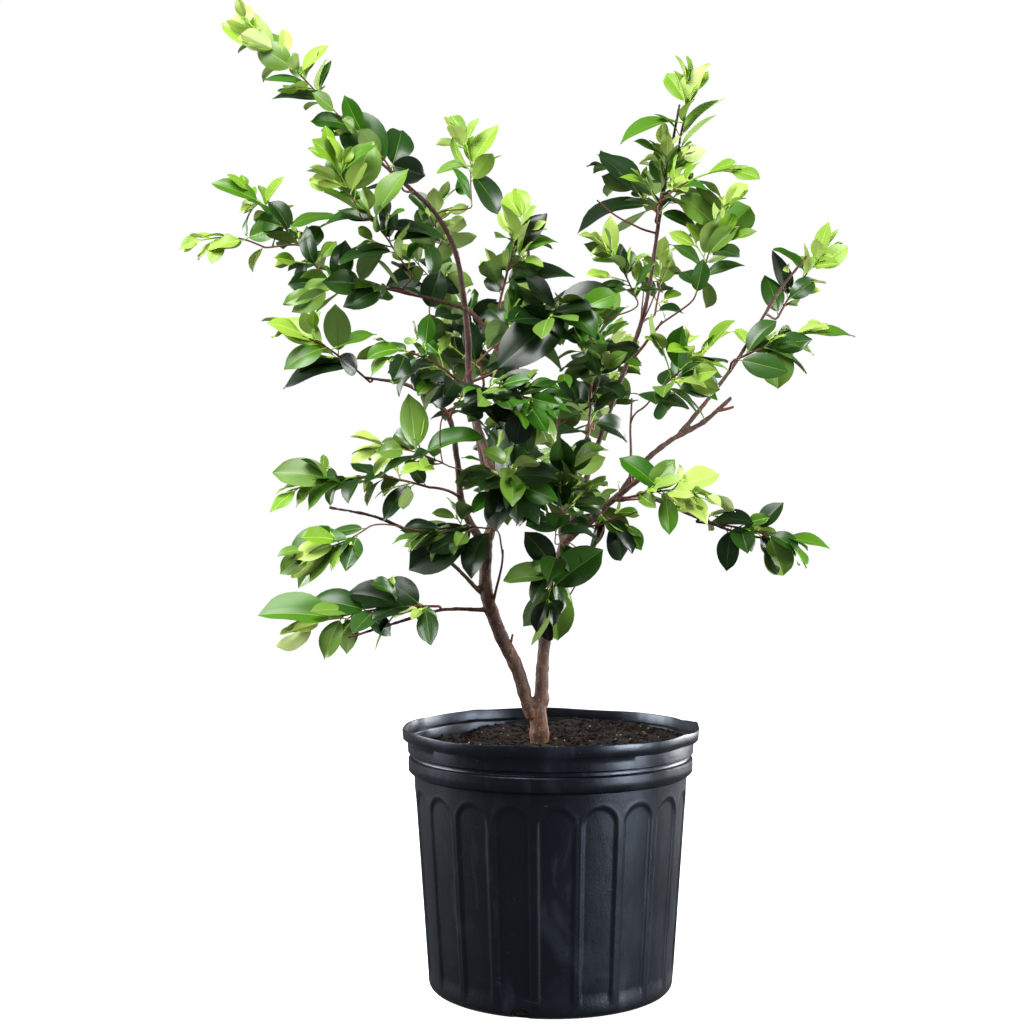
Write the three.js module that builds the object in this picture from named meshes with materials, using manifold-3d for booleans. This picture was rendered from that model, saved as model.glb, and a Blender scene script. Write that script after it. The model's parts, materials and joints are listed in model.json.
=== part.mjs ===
// A young camellia shrub, two stems from one short trunk, growing in a fluted nursery pot.
// Millimetres, +Z up. The origin is the centre of the pot's flat underside. +X is to the right
// and +Y is away from a viewer in front of the plant.
import * as THREE from 'three';
import { mergeVertices } from 'three/addons/utils/BufferGeometryUtils.js';
import Module from 'manifold-3d';

const wasm = await Module();
wasm.setup();

// ---- Driving dimensions ------------------------------------------------------------------

const GAP = 0.3; // clearance that neighbouring solids keep
const FOLIAGE_GAP = 0.5; // clearance of a foliage mass to its neighbours, faceted on both sides

const POT = {
  height: 249,
  wall: 2.4,
  floor: 3,
  footRadius: 111, // flat underside, inside the rounded bottom corner
  baseRadius: 117.4, // wall where the rounded bottom corner ends
  corner: { radius: 115.6, height: 2 }, // half-way round the bottom corner
  cornerHeight: 7,
  wallTopRadius: 131.4, // wall just under the lower band
  bandFoot: 205, // height where the wall steps out into the lower band
  lowerBand: { bottom: 208, top: 220, radius: 136.8 },
  groove: { bottom: 221.2, top: 224, radius: 133 },
  upperBand: { bottom: 225.4, top: 236.5, radius: 137.3 },
  lip: { bottom: 237.8, radius: 142.5 },
  sides: 32,
};
const DRAIN_HOLE = { width: 17.5, height: 9, count: 3, firstAngle: -105 };

// The soil's edge meets the groove; its shoulder lies at a share of that radius.
const SOIL = { shoulderHeight: 226, shoulderShare: 0.7, crownHeight: 232, flatRadius: 30 };

// The elevation of the plant is drawn in the plane y = 0 from this viewpoint. A piece in front of
// that plane or behind it lies on the line of sight through its place in the elevation.
const VIEWPOINT = new THREE.Vector3(-37, -1570, 455.6);

// A limb is [diameter at its foot, diameter at its end, route], and a route is a few places
// [x, z, y] of the elevation.
const TRUNK = [21, 19, [[-10, SOIL.crownHeight + GAP, 0], [-11, 252, 1], [-13, 272, 2]]];
const ROOT_FLARE = { extra: 0.3, reach: 9 }; // share added to the radius, and how far up it fades
const COLLAR = { extra: 0.22, reach: 6 }; // the same where a limb leaves its parent
const SLENDER = 9; // a limb thinner than this has six sides, a thicker one eight
const LIMB_STEP = 42; // length of one straight stretch of a limb

// Limbs in the order they grow: each starts inside the one that bears it and stops at its skin.
const LIMBS = {
  stem_left: [14, 12, [[-14, 262, 0], [-36, 313, -4], [-61, 371, -8], [-61, 427, -10]]],
  stem_right: [12.5, 11, [[-9, 262, 4], [-7, 313, 8], [0, 371, 8], [15, 431, 6]]],
  bough_upper_left: [
    9.5, 3.6,
    [[-61, 424, -8], [-52, 465, 0], [-76, 564, 25], [-82, 650, 30], [-101, 730, 15], [-175, 803, -20]],
  ],
  bough_left: [
    8, 3,
    [[-63, 422, -12], [-86, 465, -25], [-93, 530, -35], [-112, 567, -45], [-180, 586, -60]],
  ],
  bough_centre: [6.5, 4, [[-54, 478, 8], [-42, 530, 4], [-32, 600, 4], [-21, 708, 20]]],
  bough_far_left: [5, 3.2, [[-34, 578, 4], [-76, 648, 6], [-137, 666, 14], [-223, 692, 40]]],
  bough_low_left: [4, 2.8, [[-63, 374, -8], [-93, 404, -20], [-149, 444, -40], [-214, 460, -55]]],
  bough_bottom_left: [4, 2.8, [[-58, 361, -8], [-87, 364, -14], [-126, 355, -22], [-196, 334, -34]]],
  bough_right: [8, 5.5, [[13, 426, 6], [48, 457, -18], [88, 489, -40]]],
  stem_centre: [7, 5, [[12, 427, 8], [9, 488, 10], [8, 546, 12]]],
  stem_back_right: [
    6.5, 3,
    [[15, 428, 10], [41, 506, 40], [61, 564, 60], [91, 650, 62], [106, 743, 50], [125, 850, 34]],
  ],
  bough_right_outer: [6, 4.4, [[66, 471, -29], [101, 515, -24], [142, 538, -16], [175, 566, -10]]],
  bough_far_right: [4.4, 3, [[122, 528, -19], [173, 591, -8], [222, 670, 16], [248, 703, 26]]],
  bough_right_low: [4, 2.8, [[60, 467, -26], [112, 466, -56], [155, 443, -66], [224, 427, -62]]],
  bough_back_left: [6, 3.6, [[-57, 450, -2], [-66, 505, 60], [-84, 585, 130]]],
  bough_back_right: [6, 3.6, [[14, 430, 8], [24, 490, 70], [46, 560, 140]]],
};

// Masses of foliage along their leafy shoots: [the shoot's base, its tip, width across the shoot in
// the elevation, depth from front to back, how far the mass narrows at the tip, tone of its leaves].
const FOLIAGE = {
  top_left_tip: [[-204, 838, -30], [-309, 946, -46], 78, 62, 0.55, 'young'],
  top_left_pair: [[-142, 766, -8], [-208, 850, -24], 54, 50, 0.1, 'mature'],
  upper_left_bright: [[-184, 742, -84], [-222, 816, -100], 68, 58, 0, 'young'],
  upper_left_fan: [[-134, 684, -36], [-198, 776, -66], 98, 76, 0.2, 'mid'],
  left_shoulder: [[-210, 670, 34], [-304, 780, 70], 104, 84, 0.5, 'mid'],
  far_left_tip: [[-256, 712, 50], [-356, 719, 66], 34, 34, 0.2, 'young'],
  left_shelf: [[-142, 672, -10], [-248, 668, -22], 38, 60, 0, 'mid'],
  left_middle_tip: [[-174, 580, -58], [-268, 642, -80], 50, 46, 0.2, 'mid'],
  left_crown: [[-84, 580, -96], [-174, 626, -130], 104, 104, 0.1, 'mature'],
  left_mid: [[-98, 500, -118], [-190, 524, -150], 68, 84, 0.1, 'mid'],
  left_low: [[-116, 480, -56], [-268, 477, -46], 46, 66, 0.3, 'mid'],
  left_drop: [[-174, 442, -140], [-256, 410, -168], 46, 46, 0, 'young'],
  skirt_left: [[-56, 440, -60], [-148, 436, -84], 64, 90, 0.1, 'dark'],
  bottom_left: [[-108, 368, -24], [-261, 344, -46], 60, 50, 0.4, 'mid'],
  top_centre: [[-76, 752, 84], [-84, 836, 92], 78, 74, 0, 'young'],
  upper_centre_left: [[-118, 648, 96], [-104, 776, 108], 96, 100, 0.1, 'mid'],
  upper_centre: [[-50, 648, -12], [-20, 762, -18], 108, 90, 0.3, 'mid'],
  heart_left: [[-62, 580, 84], [-96, 676, 122], 118, 112, 0, 'mature'],
  heart: [[-46, 622, -96], [52, 662, -140], 100, 112, 0.1, 'dark'],
  heart_low: [[-98, 556, -140], [22, 566, -176], 116, 112, 0.1, 'mature'],
  low_centre: [[-66, 472, -92], [-8, 482, -132], 136, 98, 0, 'dark'],
  low_centre_right: [[8, 428, -64], [28, 528, -84], 100, 96, 0, 'dark'],
  top_right_tip: [[124, 796, 34], [137, 892, 28], 58, 46, 0.6, 'young'],
  top_right: [[102, 738, 40], [126, 828, 30], 104, 84, 0.1, 'mid'],
  upper_right_arch: [[98, 746, 92], [44, 798, 128], 48, 54, 0.1, 'dark'],
  top_right_side: [[108, 758, -4], [194, 796, -20], 42, 48, 0.3, 'young'],
  mid_spire: [[84, 660, -56], [44, 730, -72], 84, 84, 0.4, 'mid'],
  right_spire: [[140, 664, 16], [176, 770, 28], 84, 80, 0, 'mid'],
  right_spire_inner: [[102, 650, 112], [108, 714, 136], 58, 66, 0.1, 'mid'],
  right_heart_left: [[36, 524, -8], [50, 664, 0], 112, 120, 0, 'dark'],
  right_heart: [[94, 560, -92], [170, 630, -128], 124, 112, 0.1, 'young'],
  far_right_tip: [[220, 644, 34], [283, 722, 50], 54, 46, 0.4, 'young'],
  far_right: [[178, 602, -24], [268, 640, -10], 60, 58, 0.4, 'mid'],
  bright_right: [[76, 470, -120], [168, 474, -166], 56, 70, 0.2, 'young'],
  low_right_inner: [[32, 470, 34], [94, 430, 20], 76, 84, 0, 'dark'],
  right_low: [[142, 446, -54], [254, 423, -74], 52, 44, 0.3, 'mid'],
  bottom_centre: [[12, 426, -36], [-16, 334, -60], 74, 68, 0, 'mature'],
  back_left: [[-84, 552, 150], [-104, 640, 232], 122, 122, 0.1, 'mature'],
  back_centre: [[-50, 466, 76], [-24, 566, 206], 118, 110, 0, 'dark'],
  back_right: [[40, 534, 140], [70, 632, 226], 118, 118, 0.1, 'mature'],
  back_low: [[-36, 502, 64], [52, 470, 140], 92, 92, 0, 'dark'],
};
// Leaf tufts of a mass: their number, the turn from one to the next, how widely each swells the
// mass, and the share of the radius that is left between them.
const TUFTS = { count: 7, turn: THREE.MathUtils.degToRad(137.5), spread: 0.1, hollow: 0.6 };
const SMALL_MASS = 93; // a mass narrower than this needs only the coarser sphere

// ---- Colours and finishes ------------------------------------------------------------------

function finish(color, roughness) {
  return new THREE.MeshStandardMaterial({ color, roughness, metalness: 0 });
}
const plastic = () => finish(0x17191f, 0.42);
const pottingMix = () => finish(0x2a1f18, 0.95);
const bark = () => finish(0x7a5138, 0.8);
const LEAF_COLOURS = { dark: 0x16391d, mature: 0x25542a, mid: 0x4a8a26, young: 0x86b83a };

// ---- Making and cutting solids ----------------------------------------------------------------

/** The closed solid that a three.js geometry encloses. */
function solidOf(geometry) {
  const shell = geometry.clone();
  for (const name of Object.keys(shell.attributes)) {
    if (name !== 'position') shell.deleteAttribute(name);
  }
  const merged = mergeVertices(shell, 1e-4);
  const mesh = new wasm.Mesh({
    numProp: 3,
    vertProperties: new Float32Array(merged.attributes.position.array),
    triVerts: new Uint32Array(merged.index.array),
  });
  return new wasm.Manifold(mesh);
}

function geometryOf(solid) {
  const mesh = solid.getMesh();
  const geometry = new THREE.BufferGeometry();
  geometry.setAttribute('position', new THREE.BufferAttribute(mesh.vertProperties, 3));
  geometry.setIndex(new THREE.BufferAttribute(mesh.triVerts, 1));
  return geometry;
}

/** What is left of a solid beside its neighbours: the largest piece, if they cut it apart. */
function cutBy(solid, neighbours) {
  const rest = neighbours.reduce((left, neighbour) => left.subtract(neighbour), solid);
  return rest.decompose().reduce((best, piece) => (piece.volume() > best.volume() ? piece : best));
}

const plant = new THREE.Group();

function addNode(name, geometry, material) {
  const mesh = new THREE.Mesh(geometry, material);
  mesh.name = name;
  plant.add(mesh);
}

/** A place [x, z, y] of the elevation as a point in space. */
function inSpace([x, z, y]) {
  const share = (y - VIEWPOINT.y) / -VIEWPOINT.y;
  return new THREE.Vector3(
    VIEWPOINT.x + (x - VIEWPOINT.x) * share,
    y,
    VIEWPOINT.z + (z - VIEWPOINT.z) * share,
  );
}

// ---- Pot and soil ------------------------------------------------------------------------------

/** A solid of revolution about Z from [radius, height] points, run up its outside. */
function turned(profile) {
  const points = profile.map(([radius, height]) => new THREE.Vector2(radius, height));
  return new THREE.LatheGeometry(points, POT.sides).rotateX(Math.PI / 2);
}

/** Inner face of the pot, [radius, height] from the floor up past the groove, moved in by `clear`. */
function innerWall(clear) {
  const reach = POT.wall + clear;
  return [
    [POT.baseRadius - reach - 1, POT.floor + clear],
    [POT.wallTopRadius - reach, POT.bandFoot],
    [POT.groove.radius - reach, POT.groove.top],
  ];
}

function pot() {
  const { lowerBand, groove, upperBand, lip } = POT;
  const softness = 1.2; // rounding of the lip's edges
  const inside = [
    [upperBand.radius - POT.wall, upperBand.top],
    [upperBand.radius - POT.wall, upperBand.bottom + POT.wall],
    ...innerWall(0).reverse(),
    [0, POT.floor],
  ];
  const outside = [
    [0, 0],
    [POT.footRadius, 0],
    [POT.corner.radius, POT.corner.height],
    [POT.baseRadius, POT.cornerHeight],
    [POT.wallTopRadius, POT.bandFoot],
    [lowerBand.radius, lowerBand.bottom],
    [lowerBand.radius, lowerBand.top],
    [groove.radius, groove.bottom],
    [groove.radius, groove.top],
    [upperBand.radius, upperBand.bottom],
    [upperBand.radius, upperBand.top],
    [lip.radius, lip.bottom],
    [lip.radius, POT.height - softness],
    [lip.radius - softness, POT.height],
    [lip.radius - POT.wall - softness, POT.height],
  ];
  const shell = solidOf(turned([...outside, ...inside]));
  const holes = Array.from({ length: DRAIN_HOLE.count }, (_, index) => {
    const angle = THREE.MathUtils.degToRad(DRAIN_HOLE.firstAngle + (index * 360) / DRAIN_HOLE.count);
    const length = 26; // from under the floor out past the bottom corner
    const hole = new THREE.BoxGeometry(length, DRAIN_HOLE.width, DRAIN_HOLE.height * 2);
    hole.translate(POT.baseRadius, 0, 0).rotateZ(angle);
    return solidOf(hole);
  });
  return geometryOf(cutBy(shell, holes));
}

function soil() {
  const wall = innerWall(GAP);
  const [edgeRadius] = wall[wall.length - 1];
  return turned([
    [0, POT.floor + GAP],
    ...wall,
    [edgeRadius * SOIL.shoulderShare, SOIL.shoulderHeight],
    [SOIL.flatRadius, SOIL.crownHeight],
    [0, SOIL.crownHeight],
  ]);
}

// ---- Trunk and limbs ----------------------------------------------------------------------------

/** A tapering round limb along its route: a cylinder bent on to a curve, swollen at its foot. */
function limb([thick, thin, route], swelling, grow = 0) {
  const curve = new THREE.CatmullRomCurve3(route.map(inSpace), false, 'centripetal');
  const length = curve.getLength();
  const sides = thick < SLENDER ? 6 : 8;
  const steps = Math.max(3, Math.round(length / LIMB_STEP));
  const geometry = new THREE.CylinderGeometry(1, 1, 1, sides, steps);
  const place = geometry.attributes.position;
  const vertex = new THREE.Vector3();
  for (let index = 0; index < place.count; index += 1) {
    vertex.fromBufferAttribute(place, index);
    const along = vertex.y + 0.5;
    const taper = THREE.MathUtils.lerp(thick, thin, along) / 2;
    const radius = taper * (1 + swelling.extra * Math.exp((-along * length) / swelling.reach)) + grow;
    const forward = curve.getTangentAt(along);
    const across = new THREE.Vector3().crossVectors(forward, new THREE.Vector3(0, 1, 0)).normalize();
    const outward = new THREE.Vector3().crossVectors(across, forward);
    const centre = curve.getPointAt(along);
    centre.addScaledVector(forward, grow * Math.sign(vertex.y));
    centre.addScaledVector(across, vertex.x * radius).addScaledVector(outward, vertex.z * radius);
    place.setXYZ(index, centre.x, centre.y, centre.z);
  }
  return geometry;
}

/** The trunk stands on the soil, so the ring of its foot is laid flat and level there. */
function trunk(grow = 0) {
  const geometry = limb(TRUNK, ROOT_FLARE, grow);
  const place = geometry.attributes.position;
  const foot = SOIL.crownHeight + GAP;
  const footRing = 2; // its corners are within this height of the soil
  for (let index = 0; index < place.count; index += 1) {
    if (place.getZ(index) < foot + footRing) place.setZ(index, foot - grow);
  }
  return geometry;
}

// ---- Foliage ------------------------------------------------------------------------------------

/** Directions in which the leaf tufts of a mass stand out, spiralling up its shoot. */
function tuftDirections(phase) {
  return Array.from({ length: TUFTS.count }, (_, index) => {
    const along = THREE.MathUtils.lerp(-0.75, 0.8, index / (TUFTS.count - 1));
    const across = Math.sqrt(1 - along * along);
    const turn = phase + index * TUFTS.turn;
    return new THREE.Vector3(along, across * Math.cos(turn), across * Math.sin(turn));
  });
}

/** A sphere of flat facets with one of its corners on the +X axis. */
function facetedSphere(detail) {
  const sphere = new THREE.IcosahedronGeometry(1, detail);
  const golden = (1 + Math.sqrt(5)) / 2;
  const corner = new THREE.Vector3(0, 1, golden).normalize();
  sphere.applyQuaternion(new THREE.Quaternion().setFromUnitVectors(corner, new THREE.Vector3(1, 0, 0)));
  return mergeVertices(sphere.deleteAttribute('normal').deleteAttribute('uv'));
}

/** One uneven mass of leaves along its shoot. `phase` turns its tufts about the shoot. */
function foliageMass([base, tip, width, depth, tips], phase, grow = 0) {
  const start = inSpace(base);
  const end = inSpace(tip);
  const along = new THREE.Vector3().subVectors(end, start);
  const half = along.length() / 2;
  along.normalize();
  const deep = new THREE.Vector3(0, 1, 0).addScaledVector(along, -along.y).normalize();
  const wide = new THREE.Vector3().crossVectors(deep, along);
  const centre = new THREE.Vector3().addVectors(start, end).multiplyScalar(0.5);
  const tufts = tuftDirections(phase);
  const sphere = facetedSphere(Math.max(width, depth) < SMALL_MASS ? 1 : 2);
  const place = sphere.attributes.position;
  const way = new THREE.Vector3();
  for (let index = 0; index < place.count; index += 1) {
    way.fromBufferAttribute(place, index);
    const bulge = tufts.reduce((sum, tuft) => sum + Math.exp((way.dot(tuft) - 1) / TUFTS.spread), 0);
    const swell = TUFTS.hollow + (1 - TUFTS.hollow) * bulge;
    const narrowing = 1 - tips * (0.5 + 0.5 * way.x);
    const point = centre.clone();
    point.addScaledVector(along, way.x * (half + grow));
    point.addScaledVector(wide, way.y * ((width / 2) * swell * narrowing + grow));
    point.addScaledVector(deep, way.z * ((depth / 2) * swell * narrowing + grow));
    place.setXYZ(index, point.x, point.y, point.z);
  }
  return sphere;
}

// ---- Assembly -----------------------------------------------------------------------------------

addNode('pot', pot(), plastic());
addNode('soil', soil(), pottingMix());

addNode('trunk', trunk(), bark());
const limbClearances = [solidOf(trunk(GAP))];
for (const [name, shape] of Object.entries(LIMBS)) {
  addNode(name, geometryOf(cutBy(solidOf(limb(shape, COLLAR)), limbClearances)), bark());
  limbClearances.push(solidOf(limb(shape, COLLAR, GAP)));
}

const clearances = [...limbClearances];
Object.entries(FOLIAGE).forEach(([name, shape], index) => {
  const phase = index * TUFTS.turn;
  const tone = shape[shape.length - 1];
  const mass = cutBy(solidOf(foliageMass(shape, phase)), clearances);
  addNode(`leaves_${name}`, geometryOf(mass), finish(LEAF_COLOURS[tone], 0.6));
  clearances.push(solidOf(foliageMass(shape, phase, FOLIAGE_GAP)));
});

export default plant;
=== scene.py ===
"""A young camellia shrub in its fluted black nursery pot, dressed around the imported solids."""

import json
import math
import random
from collections import namedtuple

import bpy
import numpy as np
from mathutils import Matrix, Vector, noise
from mathutils.bvhtree import BVHTree


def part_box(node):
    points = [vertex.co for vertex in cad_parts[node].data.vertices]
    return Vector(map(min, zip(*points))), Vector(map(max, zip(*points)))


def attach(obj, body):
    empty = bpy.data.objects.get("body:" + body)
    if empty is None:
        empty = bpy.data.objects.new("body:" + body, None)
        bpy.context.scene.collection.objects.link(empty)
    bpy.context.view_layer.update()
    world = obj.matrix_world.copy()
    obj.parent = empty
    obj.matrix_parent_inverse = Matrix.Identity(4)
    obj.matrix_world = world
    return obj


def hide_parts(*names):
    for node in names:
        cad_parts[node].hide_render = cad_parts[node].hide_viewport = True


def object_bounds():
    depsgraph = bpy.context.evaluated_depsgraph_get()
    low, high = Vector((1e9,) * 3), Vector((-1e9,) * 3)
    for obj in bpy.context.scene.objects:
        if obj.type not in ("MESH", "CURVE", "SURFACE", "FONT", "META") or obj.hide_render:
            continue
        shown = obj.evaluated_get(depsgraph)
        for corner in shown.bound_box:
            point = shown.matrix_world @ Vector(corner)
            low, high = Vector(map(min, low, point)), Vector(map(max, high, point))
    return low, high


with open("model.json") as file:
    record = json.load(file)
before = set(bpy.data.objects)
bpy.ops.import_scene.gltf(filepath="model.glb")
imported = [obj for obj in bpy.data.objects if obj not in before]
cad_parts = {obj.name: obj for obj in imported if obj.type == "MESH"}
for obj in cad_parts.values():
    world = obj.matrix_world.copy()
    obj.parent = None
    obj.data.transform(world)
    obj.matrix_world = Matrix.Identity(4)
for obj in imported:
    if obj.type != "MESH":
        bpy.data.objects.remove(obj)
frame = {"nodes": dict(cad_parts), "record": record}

CAD_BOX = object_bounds()
MM = 0.001
UP = Vector((0, 0, 1))
GOLDEN_TURN = math.radians(137.5)

# ---- Finishes: a small way of writing shader maths ----------------------------------------


class Reading:
    """A node's output. Arithmetic on it adds the Math nodes that work it out."""

    def __init__(self, finish, output):
        self.finish = finish
        self.output = output

    def maths(self, operation, first, second):
        return self.finish.node("ShaderNodeMath", {"operation": operation}, {0: first, 1: second})

    def __add__(self, other):
        return self.maths("ADD", self, other)

    __radd__ = __add__

    def __sub__(self, other):
        return self.maths("SUBTRACT", self, other)

    def __rsub__(self, other):
        return self.maths("SUBTRACT", other, self)

    def __mul__(self, other):
        return self.maths("MULTIPLY", self, other)

    __rmul__ = __mul__


class Finish:
    """A material, and the one method that adds a node to it."""

    def __init__(self, name):
        self.material = bpy.data.materials.new(name)
        self.material.use_nodes = True
        self.tree = self.material.node_tree
        self.surface = self.tree.nodes["Principled BSDF"]

    def feed(self, socket, value):
        if isinstance(value, Reading):
            self.tree.links.new(value.output, socket)
        else:
            socket.default_value = value

    def node(self, kind, settings, sockets, output=0):
        made = self.tree.nodes.new(kind)
        for name, value in settings.items():
            setattr(made, name, value)
        for name, value in sockets.items():
            self.feed(made.inputs[name], value)
        return Reading(self, made.outputs[output])

    def place(self, stretch=(1, 1, 1)):
        """Object coordinates, scaled along each axis."""
        coordinates = self.node("ShaderNodeTexCoord", {}, {}, "Object")
        return self.node("ShaderNodeMapping", {}, {"Vector": coordinates, "Scale": stretch})

    def noise(self, scale, detail=3.0, stretch=(1, 1, 1), distortion=0.0):
        sockets = {"Vector": self.place(stretch), "Scale": scale, "Detail": detail, "Distortion": distortion}
        return self.node("ShaderNodeTexNoise", {}, sockets)

    def ramp(self, factor, low, high):
        """0 at `low` and 1 at `high`, flat beyond them. Either may be the greater."""
        return self.node(
            "ShaderNodeMapRange", {"clamp": True}, {"Value": factor, "From Min": low, "From Max": high}
        )

    def blend(self, factor, first, second):
        """A colour between two colours."""
        pair = {0: factor, 6: first, 7: second}
        return self.node("ShaderNodeMix", {"data_type": "RGBA", "clamp_factor": True}, pair, 2)

    def relief(self, height, distance):
        return self.node("ShaderNodeBump", {}, {"Height": height, "Distance": distance, "Strength": 1.0})

    def paint(self, **values):
        """Sets the surface's sockets; an underscore in a name stands for a space."""
        for name, value in values.items():
            self.feed(self.surface.inputs[name.replace("_", " ").title()], value)
        return self.material


def rgba(red, green, blue):
    """A colour given as it looks on a screen, 0 to 255, as a shader takes it."""
    screen = [channel / 255 for channel in (red, green, blue)]
    light = [c / 12.92 if c <= 0.04045 else ((c + 0.055) / 1.055) ** 2.4 for c in screen]
    return (*light, 1)


def plain(name, colour, roughness, gloss):
    """A finish of one plain colour, for the small joined pieces."""
    finish = Finish(name)
    finish.surface.inputs["Specular IOR Level"].default_value = gloss
    return finish.paint(base_color=colour, roughness=roughness)


def black_plastic():
    """Moulded black plastic: cloudy gloss, dusty smears, fine upright scuffs."""
    finish = Finish("black_plastic")
    clouds = finish.noise(14.0, 4.0, distortion=0.4)
    height = finish.node("ShaderNodeSeparateXYZ", {}, {"Vector": finish.place()}, 2)
    rim = finish.ramp(height, 0.2, 0.225)
    smears = finish.ramp(finish.noise(24.0, 5.0, (1, 1, 0.5), 1.2), 0.54, 0.8)
    scuffs = finish.ramp(finish.noise(110.0, 3.0, (1, 1, 0.1)), 0.64, 0.8)
    scratches = finish.ramp(finish.noise(75.0, 2.0, (0.5, 0.5, 3.0), 2.0), 0.7, 0.76)
    specks = finish.ramp(finish.noise(420.0, 2.0), 0.72, 0.8)
    dust = smears * 0.14 + scuffs * 0.12 + specks * 0.34 + scratches * 0.2
    colour = finish.blend(dust, rgba(5, 6, 10), rgba(80, 86, 100))
    grain = finish.noise(900.0, 2.0) * 0.35 + finish.noise(70.0, 3.0, (1, 1, 0.5))
    finish.surface.inputs["Specular IOR Level"].default_value = 0.5
    finish.surface.inputs["Specular Tint"].default_value = (0.66, 0.79, 1.0, 1)
    return finish.paint(
        base_color=colour,
        roughness=clouds * 0.2 + dust * 0.2 + 0.29 - rim * 0.07,
        normal=finish.relief(grain, 0.0005),
    )


def old_bark():
    """Thin smooth bark: reddish brown, paler where it is older, flecked with orange near the soil."""
    finish = Finish("old_bark")
    fine = finish.noise(320.0, 5.0, (1, 1, 0.3))
    patches = finish.ramp(finish.noise(46.0, 4.0, (1, 1, 0.4), 0.5), 0.42, 0.62)
    height = finish.node("ShaderNodeSeparateXYZ", {}, {"Vector": finish.place()}, 2)
    stain = finish.ramp(height, 0.3, 0.235) * finish.ramp(finish.noise(150.0, 5.0), 0.47, 0.62)
    young = finish.ramp(height, 0.42, 0.62)
    ground = finish.blend(patches, rgba(58, 36, 27), rgba(98, 64, 47))
    ground = finish.blend(young * 0.75, ground, rgba(78, 40, 30))
    ground = finish.blend(finish.ramp(fine, 0.62, 0.4) * 0.65, ground, rgba(28, 17, 13))
    ground = finish.blend(stain * 0.6, ground, rgba(146, 88, 44))
    lenticels = finish.ramp(finish.noise(700.0, 1.0, (1, 1, 0.6)), 0.69, 0.74)
    ground = finish.blend(lenticels * 0.5, ground, rgba(190, 158, 124))
    return finish.paint(
        base_color=ground, roughness=0.62 + fine * 0.2, normal=finish.relief(fine, 0.0006)
    )


def potting_mix():
    """Dark damp bark compost with paler crumbs."""
    finish = Finish("potting_mix")
    coarse = finish.noise(120.0, 6.0)
    fine = finish.noise(520.0, 4.0)
    colour = finish.blend(finish.ramp(coarse, 0.4, 0.65), rgba(9, 7, 6), rgba(34, 24, 19))
    colour = finish.blend(finish.ramp(fine, 0.58, 0.68) * 0.6, colour, rgba(74, 50, 36))
    return finish.paint(
        base_color=colour, roughness=1.0 - fine * 0.35, normal=finish.relief(fine + coarse, 0.003)
    )


def pale_floor():
    finish = Finish("pale_floor")
    cloud = finish.noise(1.5, 2.0)
    finish.surface.inputs["Emission Color"].default_value = (1, 1, 1, 1)
    finish.surface.inputs["Emission Strength"].default_value = 0.93
    return finish.paint(base_color=rgba(238, 238, 238), roughness=cloud * 0.1 + 0.75)


# Leaf shades by tone, oldest to newest. Each is (upper face, midrib, underside).
SHADES = {
    "dark": [
        (rgba(9, 26, 6), rgba(52, 78, 24), rgba(70, 96, 42)),
        (rgba(14, 36, 8), rgba(62, 90, 28), rgba(80, 108, 46)),
        (rgba(22, 48, 16), rgba(74, 102, 40), rgba(92, 118, 60)),
    ],
    "mature": [
        (rgba(26, 58, 10), rgba(88, 120, 36), rgba(96, 124, 50)),
        (rgba(36, 74, 14), rgba(102, 134, 42), rgba(108, 136, 56)),
        (rgba(48, 84, 28), rgba(112, 142, 60), rgba(120, 144, 78)),
    ],
    "mid": [
        (rgba(46, 98, 8), rgba(118, 156, 44), rgba(118, 150, 56)),
        (rgba(72, 120, 18), rgba(140, 174, 58), rgba(138, 166, 70)),
        (rgba(98, 134, 48), rgba(156, 180, 88), rgba(152, 174, 98)),
    ],
    # The young shades hold the new leaves' own paler yellow-green, lightened further on faces and undersides
    # as painted light for the glow of light shining through them.
    "young": [
        (rgba(110, 152, 32), rgba(172, 198, 84), rgba(158, 186, 84)),
        (rgba(138, 174, 56), rgba(192, 212, 112), rgba(178, 202, 106)),
        (rgba(166, 192, 90), rgba(210, 224, 146), rgba(196, 214, 138)),
    ],
}
TONES = list(SHADES)
GLOSS = {"dark": (0.33, 0.4), "mature": (0.34, 0.42), "mid": (0.36, 0.42), "young": (0.42, 0.4)}


def leaf_finishes(tone):
    """Plain finishes for a tone's leaves: three for each of its shades."""
    roughness, gloss = GLOSS[tone]
    made = []
    for number, (face, rib, underside) in enumerate(SHADES[tone]):
        made.append(plain(f"leaf_{tone}_{number}_face", face, roughness, gloss))
        made.append(plain(f"leaf_{tone}_{number}_rib", rib, roughness + 0.1, gloss))
        made.append(plain(f"leaf_{tone}_{number}_underside", underside, 0.62, 0.3))
    return made


# ---- Modelling helpers --------------------------------------------------------------------------


def deselect():
    bpy.ops.object.select_all(action="DESELECT")


def take(piece):
    """Makes a piece the only selected and the active one."""
    deselect()
    piece.select_set(True)
    bpy.context.view_layer.objects.active = piece


def name_piece(piece, name, *materials):
    piece.name = name
    piece.data.name = name
    piece.data.materials.clear()
    for material in materials:
        piece.data.materials.append(material)
    return piece


def settle(piece):
    """Leaves the piece's object at the origin, with its place in its mesh."""
    take(piece)
    bpy.ops.object.transform_apply(location=True, rotation=True, scale=True)


def face_out(piece):
    take(piece)
    bpy.ops.object.mode_set(mode="EDIT")
    bpy.ops.mesh.select_all(action="SELECT")
    bpy.ops.mesh.remove_doubles(threshold=1e-6)
    bpy.ops.mesh.normals_make_consistent(inside=False)
    bpy.ops.object.mode_set(mode="OBJECT")


def modify(piece, kind, **settings):
    """Adds a modifier and applies it."""
    take(piece)
    modifier = piece.modifiers.new(kind.title(), kind)
    for name, value in settings.items():
        setattr(modifier, name, value)
    bpy.ops.object.modifier_apply(modifier=modifier.name)


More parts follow.
